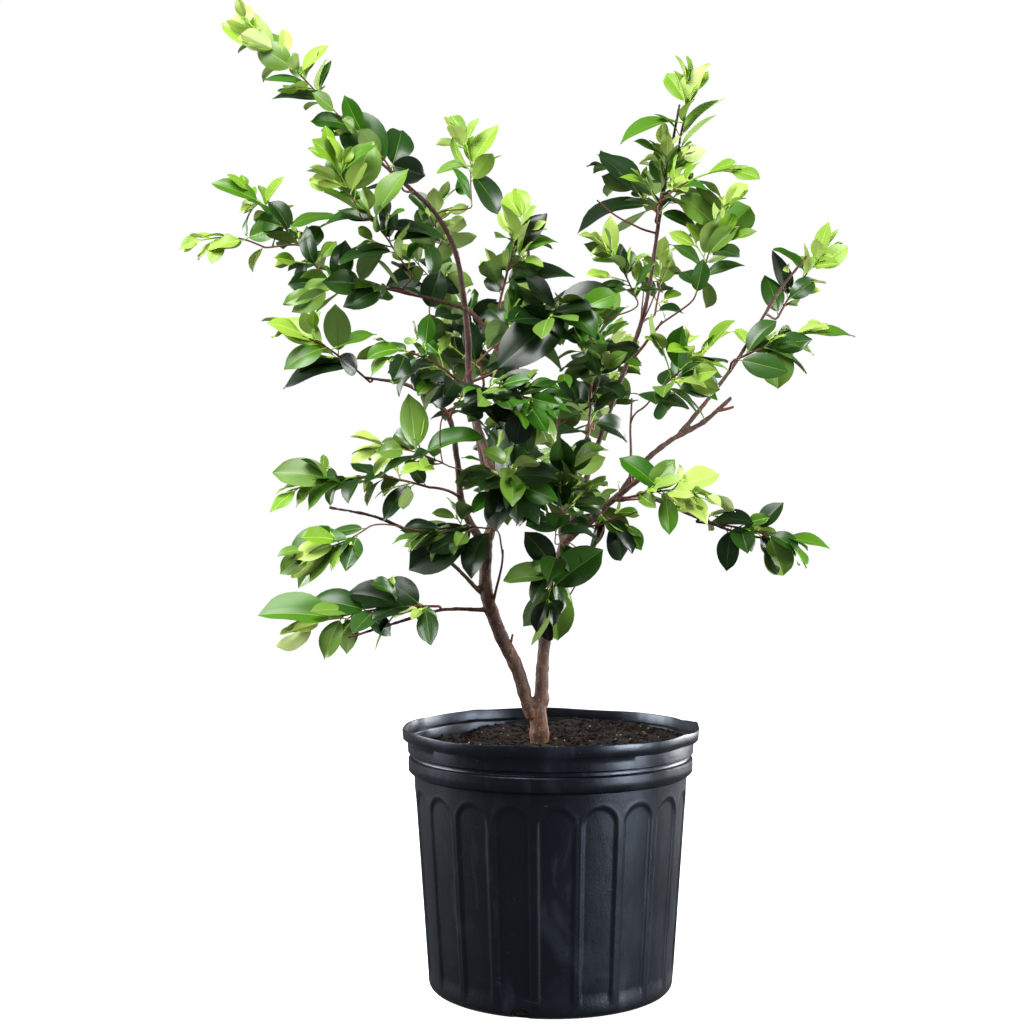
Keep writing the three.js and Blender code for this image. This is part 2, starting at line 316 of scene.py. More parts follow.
def turned(outline, segments):
    """A closed turned body: a ring extruded and scaled through [radius, height] places."""
    radius, height = outline[0]
    bpy.ops.mesh.primitive_circle_add(
        vertices=segments, radius=radius, fill_type="NGON", location=(0, 0, height)
    )
    piece = bpy.context.object
    bpy.ops.object.mode_set(mode="EDIT")
    bpy.ops.mesh.select_all(action="SELECT")
    for next_radius, next_height in outline[1:]:
        bpy.ops.mesh.extrude_region_move(TRANSFORM_OT_translate={"value": (0, 0, next_height - height)})
        share = next_radius / radius
        bpy.ops.transform.resize(value=(share, share, 1), center_override=(0, 0, next_height))
        radius, height = next_radius, next_height
    bpy.ops.object.mode_set(mode="OBJECT")
    settle(piece)
    return piece


def joined(name, vertices, faces, material_index, materials, smooth_angle=None):
    """One mesh from arrays of many small things."""
    mesh = bpy.data.meshes.new(name)
    mesh.from_pydata(vertices, [], faces)
    piece = bpy.data.objects.new(name, mesh)
    bpy.context.scene.collection.objects.link(piece)
    name_piece(piece, name, *materials)
    mesh.polygons.foreach_set("material_index", np.asarray(material_index, np.int32))
    take(piece)
    if smooth_angle:
        bpy.ops.object.shade_smooth_by_angle(angle=math.radians(smooth_angle))
    return piece


def smoothstep(low, high, value):
    share = min(1.0, max(0.0, (value - low) / (high - low)))
    return share * share * (3 - 2 * share)


# ---- Pot -----------------------------------------------------------------------------------------

_, POT_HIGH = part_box("pot")
RIM_RADIUS = POT_HIGH.x
POT_HEIGHT = POT_HIGH.z
FOOT_RADIUS = RIM_RADIUS - 25.1 * MM
WALL_TOP_RADIUS = RIM_RADIUS - 11.1 * MM
WALL_TOP = POT_HEIGHT - 44.5 * MM
FOOT_CORNER = 7 * MM
WALL = 1.9 * MM
FLOOR_THICKNESS = 3 * MM
WALL_ROWS = 108
COLUMNS_PER_FLUTE = 27
WARP_BELOW_RIM = 34 * MM
NOTCH_COUNT = 3
NOTCH_SIZE = (14 * MM, 17.5 * MM, 18 * MM)
NOTCH_START = -105
NOTCH_ROUNDING = 4 * MM
FLUTE_COUNT = 20
FLUTE_TURN = 2 * math.pi / FLUTE_COUNT
FLUTE_START = math.radians(-90 + 1)
FLUTE_HALF_ANGLE = math.radians(7.6)
FLUTE_DEPTH = 1.7 * MM
FLUTE_BEAD = 0.3 * MM
FLUTE_TOP = POT_HEIGHT - 56.5 * MM
FLUTE_FOOT = 8 * MM


def pot_outline():
    """[radius, height] places up the outside, over the lip and down the inside to the floor."""
    inner = FOOT_RADIUS - FOOT_CORNER
    points = [(inner - 1 * MM, 0.0)]
    for step in range(1, 6):
        turn = math.radians(90 * step / 5)
        points.append((inner + FOOT_CORNER * math.sin(turn), FOOT_CORNER - FOOT_CORNER * math.cos(turn)))
    for row in range(1, WALL_ROWS + 1):
        share = row / WALL_ROWS
        radius = FOOT_RADIUS + (WALL_TOP_RADIUS - FOOT_RADIUS) * share
        points.append((radius, FOOT_CORNER + (WALL_TOP - FOOT_CORNER) * share))
    # From the lower band up over the lip and down the inside, in mm from the rim's edge and top.
    upper = [
        (-9.6, -43.2), (-7.0, -41.8), (-5.9, -40.6), (-5.6, -35.0), (-5.7, -29.4), (-6.6, -28.4),
        (-9.0, -27.8), (-9.5, -26.4), (-9.2, -24.6), (-6.6, -23.8), (-5.3, -23.0), (-5.1, -17.0),
        (-5.2, -12.4), (-4.4, -11.4), (-1.5, -10.9), (-0.7, -10.0), (-0.4, -5.5), (0.0, -0.8),
        (-0.2, -0.2), (-0.7, 0.0), (-1.4, -0.2), (-1.8, -1.0), (-2.2, -9.6), (-3.4, -10.8),
        (-6.6, -11.4), (-7.1, -12.6), (-7.1, -22.6), (-11.2, -24.6), (-11.4, -41.0), (-13.2, -46.5),
    ]
    points += [(RIM_RADIUS + radial * MM, POT_HEIGHT + fall * MM) for radial, fall in upper]
    points.append((FOOT_RADIUS - WALL, FLOOR_THICKNESS))
    return points


def flute_depth(angle, radius, height):
    """How far the wall is pressed in: round-topped panels with soft edges."""
    turn = (angle - FLUTE_START + FLUTE_TURN / 2) % FLUTE_TURN - FLUTE_TURN / 2
    half = FLUTE_HALF_ANGLE * radius
    across = abs(turn) * radius
    spring = FLUTE_TOP - half
    inside = half - (math.hypot(across, height - spring) if height > spring else across)
    bead = FLUTE_BEAD * math.exp(-(((inside + 0.9 * MM) / (1.3 * MM)) ** 2))
    fade = smoothstep(FLUTE_FOOT, FLUTE_FOOT + 16 * MM, height)
    return (FLUTE_DEPTH * smoothstep(-0.4 * MM, 2.8 * MM, inside) - bead) * fade


def rim_warp(angle, height):
    """A thin rim is never quite round: (outward, upward) moves, growing towards the lip."""
    share = smoothstep(POT_HEIGHT - WARP_BELOW_RIM, POT_HEIGHT, height)
    outward = 0.5 * math.sin(3 * angle + 1.0) + 0.35 * math.sin(7 * angle + 2.1)
    upward = 0.6 * math.sin(4 * angle + 0.6) + 0.35 * math.sin(9 * angle)
    dents = [
        # place and spread in degrees, outward and upward moves in mm
        (180, 7, 1.2, -2.6), (160, 6, -2.4, 1.0), (-168, 6, -0.8, -1.0), (122, 4, -0.7, 0.8),
        (-104, 5, -0.3, 1.0), (-70, 8, 0.3, -0.7), (-30, 7, -0.5, 1.0), (4, 4, 0.5, 1.8), (20, 5, -0.7, -1.0),
    ]
    for place, spread, out, up in dents:
        away = (math.degrees(angle) - place + 180) % 360 - 180
        near = math.exp(-((away / spread) ** 2))
        outward += out * near
        upward += up * near
    return share * outward * MM, share * upward * MM


def make_pot():
    pot = turned(pot_outline(), FLUTE_COUNT * COLUMNS_PER_FLUTE)
    for vertex in pot.data.vertices:
        place = vertex.co
        radius = math.hypot(place.x, place.y)
        if radius < 1e-4:
            continue
        angle = math.atan2(place.y, place.x)
        outward, upward = rim_warp(angle, place.z)
        wall = FOOT_RADIUS + (place.z / POT_HEIGHT) * 17 * MM
        if FLUTE_FOOT < place.z < FLUTE_TOP + 2 * MM and radius > wall - 1.5 * MM:
            outward -= flute_depth(angle, radius, place.z)
        share = (radius + outward) / radius
        vertex.co = (place.x * share, place.y * share, place.z + upward)
    face_out(pot)
    cutters = []
    for number in range(NOTCH_COUNT):
        angle = math.radians(NOTCH_START + 360 / NOTCH_COUNT * number)
        bpy.ops.mesh.primitive_cube_add(size=1)
        hole = bpy.context.object
        hole.scale = NOTCH_SIZE
        hole.rotation_euler = (0, 0, angle)
        reach = RIM_RADIUS - 25 * MM  # through the wall and the outer edge of the floor
        hole.location = (math.cos(angle) * reach, math.sin(angle) * reach, 0)
        settle(hole)
        modify(hole, "BEVEL", width=NOTCH_ROUNDING, segments=4)
        cutters.append(hole)
    for hole in cutters:
        modify(pot, "BOOLEAN", operation="DIFFERENCE", object=hole, solver="EXACT")
        bpy.data.objects.remove(hole)
    name_piece(pot, "nursery_pot", black_plastic())
    take(pot)
    bpy.ops.object.shade_smooth_by_angle(angle=math.radians(40))
    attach(pot, "root")
    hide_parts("pot")


# ---- Potting mix -----------------------------------------------------------------------------------

SOIL_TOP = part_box("soil")[1].z
SOIL_RADIUS = RIM_RADIUS - 8.0 * MM
TRUNK_X = -10 * MM  # where the trunk stands in the mix


def soil_height(x, y):
    """The top of the potting mix: a low mound, heaped to the back right and lumpy all over."""
    away = math.hypot(x, y) / SOIL_RADIUS
    mound = SOIL_TOP - 4.5 * MM * smoothstep(0.15, 1.0, away)
    mound += 11 * MM * smoothstep(0.1, 1.0, (x * 0.55 + y * 0.83) / SOIL_RADIUS)
    near_trunk = smoothstep(10 * MM, 30 * MM, math.hypot(x - TRUNK_X, y))
    lumps = 3.2 * MM * noise.noise(Vector((x * 28, y * 28, 0.3))) * near_trunk
    crumbs = 2.0 * MM * noise.noise(Vector((x * 110, y * 110, 2.7)))
    grit = 0.7 * MM * noise.noise(Vector((x * 320, y * 320, 5.1)))
    return mound + lumps + crumbs + grit


def make_soil():
    rings = [0.985 - 0.04 * step for step in range(24)] + [0.04, 0.015]
    outline = [(SOIL_RADIUS * 0.86, 4 * MM), (SOIL_RADIUS * 0.94, SOIL_TOP - 30 * MM)]
    outline += [(SOIL_RADIUS * share, SOIL_TOP) for share in rings]
    soil = turned(outline, 108)
    take(soil)
    bpy.ops.object.mode_set(mode="EDIT")
    bpy.ops.mesh.select_mode(type="FACE")
    bpy.ops.mesh.select_all(action="DESELECT")
    bpy.ops.object.mode_set(mode="OBJECT")
    for polygon in soil.data.polygons:
        polygon.select = polygon.center.z > SOIL_TOP - 1 * MM
    bpy.ops.object.mode_set(mode="EDIT")
    bpy.ops.mesh.subdivide(number_cuts=1)
    bpy.ops.object.mode_set(mode="OBJECT")
    for vertex in soil.data.vertices:
        if vertex.co.z > SOIL_TOP - 1 * MM:
            vertex.co.z = soil_height(vertex.co.x, vertex.co.y)
    face_out(soil)
    name_piece(soil, "potting_mix", potting_mix())
    bpy.ops.object.shade_smooth()
    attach(soil, "root")
    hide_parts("soil")


CRUMBS = [
    # finish name, colour, how many, smallest and largest size in mm, flatness
    ("dark_crumb", rgba(20, 15, 12), 1100, 1.6, 6.0, 0.7),
    ("brown_bark_bit", rgba(52, 33, 24), 620, 1.6, 7.0, 0.5),
    ("red_bark_bit", rgba(86, 48, 33), 110, 1.6, 5.5, 0.5),
    ("straw", rgba(150, 120, 84), 90, 1.2, 4.5, 0.4),
    ("perlite", rgba(214, 212, 202), 70, 0.8, 1.8, 0.9),
    ("feed_prill", rgba(150, 156, 70), 26, 1.4, 2.1, 1.0),
]


def make_crumbs():
    """Bits of bark, perlite and feed on the mix: each a lumpy chip of twelve faces."""
    rng = random.Random("crumbs")
    vertices, faces, shades, finishes = [], [], [], []
    for number, (name, colour, count, small, large, flat) in enumerate(CRUMBS):
        finishes.append(plain(name, colour, 0.85, 0.25))
        for _ in range(count):
            away = SOIL_RADIUS * 0.97 * math.sqrt(rng.random())
            angle = rng.uniform(0, 2 * math.pi)
            x, y = away * math.cos(angle), away * math.sin(angle)
            if math.hypot(x - TRUNK_X, y) < 11 * MM:
                continue
            size = rng.uniform(small, large) * MM / 2
            turn = Vector((rng.uniform(-1, 1), rng.uniform(-1, 1), 2.5)).to_track_quat("Z", "Y")
            spin = rng.uniform(0, 2 * math.pi)
            centre = Vector((x, y, soil_height(x, y) + size * flat * 0.35))
            start = len(vertices)
            for ring, (lift, reach) in enumerate(((-0.9, 0.5), (-0.1, 1.0), (0.85, 0.55))):
                for corner in range(5):
                    around = spin + corner * math.tau / 5 + ring * 0.5
                    uneven = rng.uniform(0.7, 1.15) * reach * size
                    east, north = math.cos(around) * uneven * 1.3, math.sin(around) * uneven * 0.8
                    vertices.append(centre + turn @ Vector((east, north, lift * size * flat)))
            faces.append([start + 4, start + 3, start + 2, start + 1, start])
            faces.append([start + 10 + corner for corner in range(5)])
            for ring in (0, 5):
                for corner in range(5):
                    follow = (corner + 1) % 5
                    low, high = start + ring, start + ring + 5
                    faces.append([low + corner, low + follow, high + follow, high + corner])
            shades += [number] * 12
    crumbs = joined("mix_crumbs", vertices, faces, shades, finishes)
    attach(crumbs, "root")


# ---- Limbs -------------------------------------------------------------------------------------------

Spot = namedtuple("Spot", "place radius forward")
LIMBS = [part["node"] for part in frame["record"]["subparts"] if part["material_slot"] == "bark"]
TRUNK_SLENDER = 0.84  # the trunk's solid is stouter than the trunk should look
SKIN_VOXEL = 0.95 * MM
SPOT_GAP = 3 * MM


def limb_rings(name, borne_by):
    """Centre and radius of each ring of a limb's solid, from the end its parent bears."""
    corners = {tuple(round(axis, 6) for axis in corner.co) for corner in frame["nodes"][name].data.vertices}
    reach = 10 * MM if name == "trunk" else 7.5 * MM
    rings = []
    for corner in sorted(corners):
        corner = Vector(corner)
        near = [ring for ring in rings if min((corner - other).length for other in ring) < reach]
        rings = [ring for ring in rings if ring not in near]
        rings.append([corner, *(other for ring in near for other in ring)])
    found = []
    for ring in rings:
        if name == "trunk" and len(ring) < 4:
            continue
        centre = sum(ring, Vector()) / len(ring)
        found.append((centre, sum((corner - centre).length for corner in ring) / len(ring)))
    here = min(borne_by, key=lambda spot: min((ring[0] - spot).length for ring in found))
    ordered = []
    while found:
        ring = min(found, key=lambda ring: (ring[0] - here).length)
        found.remove(ring)
        ordered.append(ring)
        here = ring[0]
    return ordered


def rounded(points, step):
    """Points along the smooth curve through the given ones, about `step` apart."""
    ends = [points[0] * 2 - points[1], *points, points[-1] * 2 - points[-2]]
    made = []
    for index in range(1, len(ends) - 2):
        before, start, end, after = ends[index - 1:index + 3]
        count = max(1, round((end - start).length / step))
        for number in range(count):
            t = number / count
            curve = (2 * start) + (end - before) * t
            curve += (2 * before - 5 * start + 4 * end - after) * t ** 2
            curve += (3 * start - before - 3 * end + after) * t ** 3
            made.append(curve / 2)
    return made + [points[-1].copy()]


def limb_spots():
    """Every limb as a list of Spots about SPOT_GAP apart, its foot sunk in the limb that bears it."""
    made = {}
    known = [Vector((0, 0, SOIL_TOP - 6 * MM))]
    waiting = {name: [corner.co.copy() for corner in frame["nodes"][name].data.vertices] for name in LIMBS}

    def gap(name):
        return min((corner - spot).length for corner in waiting[name] for spot in known)

    while waiting:
        name = min(waiting, key=gap) if made else "trunk"
        del waiting[name]
        rings = limb_rings(name, known)
        foot = min(known, key=lambda spot: (spot - rings[0][0]).length)
        if not made:
            foot = rings[0][0] - UP * 16 * MM
        centres = [foot] + [centre for centre, _ in rings]
        radii = [rings[0][1]] + [radius for _, radius in rings]
        radii[0] = radii[1] = min(radii[1], radii[2] * 1.25)
        lengths = np.cumsum([0.0] + [(after - before).length for before, after in zip(centres, centres[1:])])
        path = rounded(centres, SPOT_GAP)
        walked = np.cumsum([0.0] + [(after - before).length for before, after in zip(path, path[1:])])
        spots = []
        for index, place in enumerate(path):
            radius = float(np.interp(walked[index] * lengths[-1] / walked[-1], lengths, radii))
            ahead = path[min(index + 1, len(path) - 1)] - path[max(index - 1, 0)]
            spots.append(Spot(place, radius, ahead.normalized()))
        made[name] = spots
        known = [spot.place for spots in made.values() for spot in spots]
    return made


def make_wood(limbs):
    """Trunk, stems and boughs as one skin with the relief of bark."""
    rng = random.Random("wood")
    pieces = []
    for name, spots in limbs.items():
        curve = bpy.data.curves.new(name, "CURVE")
        curve.dimensions = "3D"
        curve.bevel_depth = 1.0
        curve.bevel_resolution = 4
        curve.use_fill_caps = True
        spline = curve.splines.new("POLY")
        spline.points.add(len(spots) - 1)
        node_every = rng.uniform(7, 10)
        for index, spot in enumerate(spots):
            knob = math.exp(-(((index % node_every) - node_every / 2) / 0.9) ** 2)
            uneven = 1 + 0.1 * knob + 0.06 * noise.noise(spot.place * 60)
            if name == "trunk":
                uneven *= TRUNK_SLENDER
            spline.points[index].co = (*spot.place, 1)
            spline.points[index].radius = spot.radius * uneven
        piece = bpy.data.objects.new(name, curve)
        bpy.context.scene.collection.objects.link(piece)
        pieces.append(piece)
    deselect()
    for piece in pieces:
        piece.select_set(True)
    bpy.context.view_layer.objects.active = pieces[0]
    bpy.ops.object.convert(target="MESH")
    bpy.ops.object.join()
    wood = bpy.context.object
    face_out(wood)
    modify(wood, "REMESH", mode="VOXEL", voxel_size=SKIN_VOXEL, use_smooth_shade=True)
    modify(wood, "SMOOTH", factor=0.5, iterations=3)
    for size, depth in ((0.009, 1.1 * MM), (0.0032, 0.55 * MM)):
        relief = bpy.data.textures.new("bark_relief", "CLOUDS")
        relief.noise_scale = size
        relief.noise_depth = 3
        modify(wood, "DISPLACE", texture=relief, strength=depth, mid_level=0.5, texture_coords="LOCAL")
    name_piece(wood, "trunk_and_boughs", old_bark())
    bpy.ops.object.shade_smooth()
    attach(wood, "root")
    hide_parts(*limbs)


# ---- Leaves ---------------------------------------------------------------------------------------------

ROWS = 13
RIB = 0.32 * MM
BLADE_THICKNESS = 0.35 * MM
ACROSS = np.array([-1.0, -0.66, -0.3, -0.01, 0.01, 0.3, 0.66, 1.0])
COLUMNS = len(ACROSS)


def blade_faces():
    """Triangles of one leaf and whether each is upper face 0, midrib 1 or underside 2."""
    inner = COLUMNS - 2
    base = ROWS * (COLUMNS + inner)
    tip = base + 1
    top = [[row * COLUMNS + column for column in range(COLUMNS)] for row in range(ROWS)]
    under = []
    for row in range(ROWS):
        first = ROWS * COLUMNS + row * inner
        under.append([top[row][0], *range(first, first + inner), top[row][-1]])
    faces, parts = [], []
    for underside, grid in enumerate((top, under)):
        for column in range(COLUMNS - 1):
            strip = [[base, grid[0][column], grid[0][column + 1]]]
            for low, high in zip(grid, grid[1:]):
                strip.append([low[column], high[column + 1], low[column + 1]])
                strip.append([low[column], high[column], high[column + 1]])
            strip.append([grid[-1][column], tip, grid[-1][column + 1]])
            for face in strip:
                faces.append(face[::-1] if underside else face)
                parts.append(1 if column == COLUMNS // 2 - 1 else 2 * underside)
    return faces, parts


BLADE_FACES, BLADE_PARTS = blade_faces()
SHARE = 0.5 - 0.5 * np.cos(np.pi * np.arange(1, ROWS + 1) / (ROWS + 1))
OUTLINE = np.sin(np.pi * SHARE ** 0.92) ** 0.7 * (1 - 0.55 * np.clip((SHARE - 0.8) / 0.2, 0, 1) ** 1.2)

Form = namedtuple("Form", "length breadth fold droop curl twist wave phase")


def blade(foot, along, normal, form):
    """Corners of one leaf: an ellipse with a drawn-out tip, folded on its midrib and bent back."""
    half = form.breadth / 2 * OUTLINE
    foot, along, normal = np.array(foot), np.array(along), np.array(normal)
    side = np.cross(normal, along)
    bend = form.curl if abs(form.curl) > 0.01 else 0.01
    arc = np.append(SHARE, 1.0)
    reach = form.length * np.sin(bend * arc) / bend
    drop = form.length * (1 - np.cos(bend * arc)) / bend
    middle = foot + reach[:, None] * along - drop[:, None] * normal
    upward = np.cos(bend * arc)[:, None] * normal + np.sin(bend * arc)[:, None] * along
    turn = form.twist * (arc[:, None] - 0.3)
    side = side * np.cos(turn) + upward * np.sin(turn)
    upward = upward * np.cos(turn) - np.cross(normal, along) * np.sin(turn)
    across = np.repeat(ACROSS[None, :], ROWS, 0)
    rib = np.minimum(RIB * (1.25 - SHARE) / half, 0.2)
    across[:, COLUMNS // 2 - 1], across[:, COLUMNS // 2] = -rib, rib
    rise = (form.fold * np.abs(across) - form.droop * across ** 2) * half[:, None]
    rise += form.wave * across ** 2 * np.sin(SHARE[:, None] * 9 + form.phase + 1.3 * np.sign(across))
    top = middle[:-1, None, :] + (across * half[:, None])[:, :, None] * side[:-1, None, :]
    top += rise[:, :, None] * upward[:-1, None, :]
    under = top[:, 1:-1, :] - BLADE_THICKNESS * upward[:-1, None, :]
    return np.concatenate([top.reshape(-1, 3), under.reshape(-1, 3), [foot], middle[-1:]])


def tube(points, radii, sides):
    """Corners and faces of a closed tapering tube."""
    points = [Vector(point) for point in points]
    vertices, faces = [], []
    across = (points[1] - points[0]).orthogonal().normalized()
    for index, point in enumerate(points):
        ahead = points[min(index + 1, len(points) - 1)] - points[max(index - 1, 0)]
        ahead.normalize()
        across = (across - ahead * across.dot(ahead)).normalized()
        outward = ahead.cross(across)
        for corner in range(sides):
            turn = math.tau * corner / sides
            spoke = across * math.cos(turn) + outward * math.sin(turn)
            vertices.append(point + spoke * radii[index])
    for ring in range(len(points) - 1):
        for corner in range(sides):
            follow = (corner + 1) % sides
            low, high = ring * sides, (ring + 1) * sides
            faces.append([low + corner, low + follow, high + follow, high + corner])
    faces.append(list(range(sides))[::-1])
    faces.append([(len(points) - 1) * sides + corner for corner in range(sides)])
    return vertices, faces


class Heap:
    """Corners, faces and finishes gathered for one joined piece."""

    def __init__(self):
        self.vertices, self.faces, self.finishes = [], [], []

    def add(self, vertices, faces, finishes):
        start = len(self.vertices)
        self.vertices.extend([tuple(vertex) for vertex in vertices])
        self.faces.extend([[start + index for index in face] for face in faces])
        self.finishes.extend(finishes)


# ---- Growth ----------------------------------------------------------------------------------------------

# How each mass of foliage grows: which way its main shoot runs, how many side shoots it bears,
# the leaf length in mm, the gap between leaves along a shoot in mm, the tones from the shoot's
# foot to its tip, and how much its leaves hang.
Spray = namedtuple("Spray", "toward sides leaf gap tones hang")
SPRAYS = {
    "top_left_tip": Spray((-0.70, -0.08, 0.72), 5, 36, 11, ("mid", "mid", "young", "young"), 0.0),
    "top_left_pair": Spray((-0.62, -0.1, 0.78), 1, 46, 20, ("dark", "mature", "mature", "mid"), -0.1),
    "upper_left_bright": Spray((-0.45, -0.2, 0.87), 3, 40, 11, ("mid", "young", "young"), -0.2),
    "upper_left_fan": Spray((-0.57, -0.3, 0.77), 4, 42, 14, ("dark", "mature", "mature", "mid"), 0.1),
    "left_shoulder": Spray((-0.64, 0.25, 0.73), 6, 36, 11, ("mature", "mature", "mid", "young"), 0.1),
    "far_left_tip": Spray((-0.98, 0.15, 0.05), 1, 34, 11, ("mid", "young", "young"), 0.1),
    "left_shelf": Spray((-1.0, -0.1, 0.0), 2, 44, 15, ("mature", "mid"), 0.2),
    "left_middle_tip": Spray((-0.84, -0.2, 0.5), 2, 42, 15, ("dark", "mid", "young"), 0.1),
    "left_crown": Spray((-0.85, -0.3, 0.42), 6, 38, 12, ("dark", "dark", "mature", "mid"), 0.25),
    "left_mid": Spray((-0.9, -0.3, 0.24), 3, 40, 12, ("dark", "mature", "mid", "young"), 0.0),
    "left_low": Spray((-1.0, 0.05, 0.0), 5, 36, 11, ("mature", "mature", "mid", "young"), 0.3),
    "left_drop": Spray((-0.9, -0.3, -0.35), 2, 38, 13, ("mature", "young", "mid"), 0.5),
    "skirt_left": Spray((-0.95, -0.25, 0.0), 3, 46, 14, ("dark", "dark", "mid"), 0.35),
    "bottom_left": Spray((-0.98, -0.12, -0.15), 3, 44, 13, ("dark", "mature", "mid", "young"), 0.2),
    "top_centre": Spray((-0.1, 0.1, 1.0), 2, 40, 13, ("mid", "young", "young"), -0.1),
    "upper_centre_left": Spray((0.1, 0.1, 1.0), 6, 40, 12, ("dark", "mature", "mature", "mid"), 0.1),
    "upper_centre": Spray((0.25, -0.05, 0.97), 6, 42, 12, ("dark", "mature", "mid", "young"), 0.1),
    "heart_left": Spray((-0.3, 0.4, 0.87), 9, 44, 11, ("dark", "dark", "mature", "mid"), 0.25),
    "heart": Spray((0.85, -0.4, 0.35), 8, 50, 12, ("dark", "dark", "dark", "mature", "mid"), 0.35),
    "heart_low": Spray((0.9, -0.3, 0.1), 11, 44, 11, ("dark", "dark", "mature", "mid"), 0.3),
    "low_centre": Spray((0.1, -0.5, 0.1), 9, 50, 11, ("dark", "dark", "dark", "mature", "mid"), 0.6),
    "low_centre_right": Spray((0.2, -0.25, 0.95), 9, 46, 11, ("dark", "mature", "mature", "mid"), 0.4),
    "top_right_tip": Spray((0.14, -0.05, 1.0), 0, 42, 12, ("mid", "young", "young"), -0.3),
    "top_right": Spray((0.26, -0.1, 0.96), 7, 36, 11, ("dark", "mature", "mid", "young"), 0.0),
    "upper_right_arch": Spray((-0.72, 0.4, 0.6), 1, 50, 18, ("dark", "dark"), 0.2),
    "top_right_side": Spray((0.9, -0.15, 0.42), 1, 38, 14, ("mid", "young"), 0.1),
    "mid_spire": Spray((-0.5, -0.15, 0.85), 5, 36, 11, ("mature", "mature", "mid", "young"), 0.0),
    "right_spire": Spray((0.32, 0.1, 0.94), 5, 42, 12, ("mature", "mature", "mid", "young"), 0.1),
    "right_spire_inner": Spray((0.1, 0.3, 0.95), 3, 36, 12, ("mature", "mature", "mid", "young"), 0.1),
    "right_heart_left": Spray((0.1, 0.0, 1.0), 10, 46, 11, ("dark", "dark", "dark", "mature", "mid"), 0.3),
    "right_heart": Spray((0.7, -0.3, 0.65), 8, 46, 12, ("mature", "mature", "mid", "young"), 0.2),
    "far_right_tip": Spray((0.62, 0.1, 0.78), 2, 40, 12, ("mature", "young", "young"), -0.1),
    "far_right": Spray((0.92, 0.1, 0.38), 3, 42, 13, ("mature", "mature", "mid", "young"), 0.1),
    "bright_right": Spray((0.9, -0.45, 0.05), 5, 36, 11, ("mid", "young", "young"), 0.2),
    "low_right_inner": Spray((0.8, -0.15, -0.5), 4, 46, 13, ("dark", "dark", "dark", "mature", "mid"), 0.5),
    "right_low": Spray((0.97, -0.15, -0.2), 3, 36, 13, ("dark", "mature", "mature", "mid"), 0.6),
    "bottom_centre": Spray((-0.25, -0.2, -0.95), 3, 44, 14, ("mature", "mature", "dark"), 0.4),
    "back_left": Spray((-0.2, 0.6, 0.75), 10, 44, 12, ("dark", "dark", "mature", "mid"), 0.2),
    "back_centre": Spray((0.2, 0.8, 0.55), 10, 46, 12, ("dark", "dark", "dark", "mature", "mid"), 0.3),
    "back_right": Spray((0.25, 0.6, 0.75), 9, 44, 12, ("dark", "dark", "mature", "mid"), 0.2),
    "back_low": Spray((0.6, 0.6, -0.2), 5, 42, 12, ("dark", "dark", "dark", "mature", "mid"), 0.4),
}
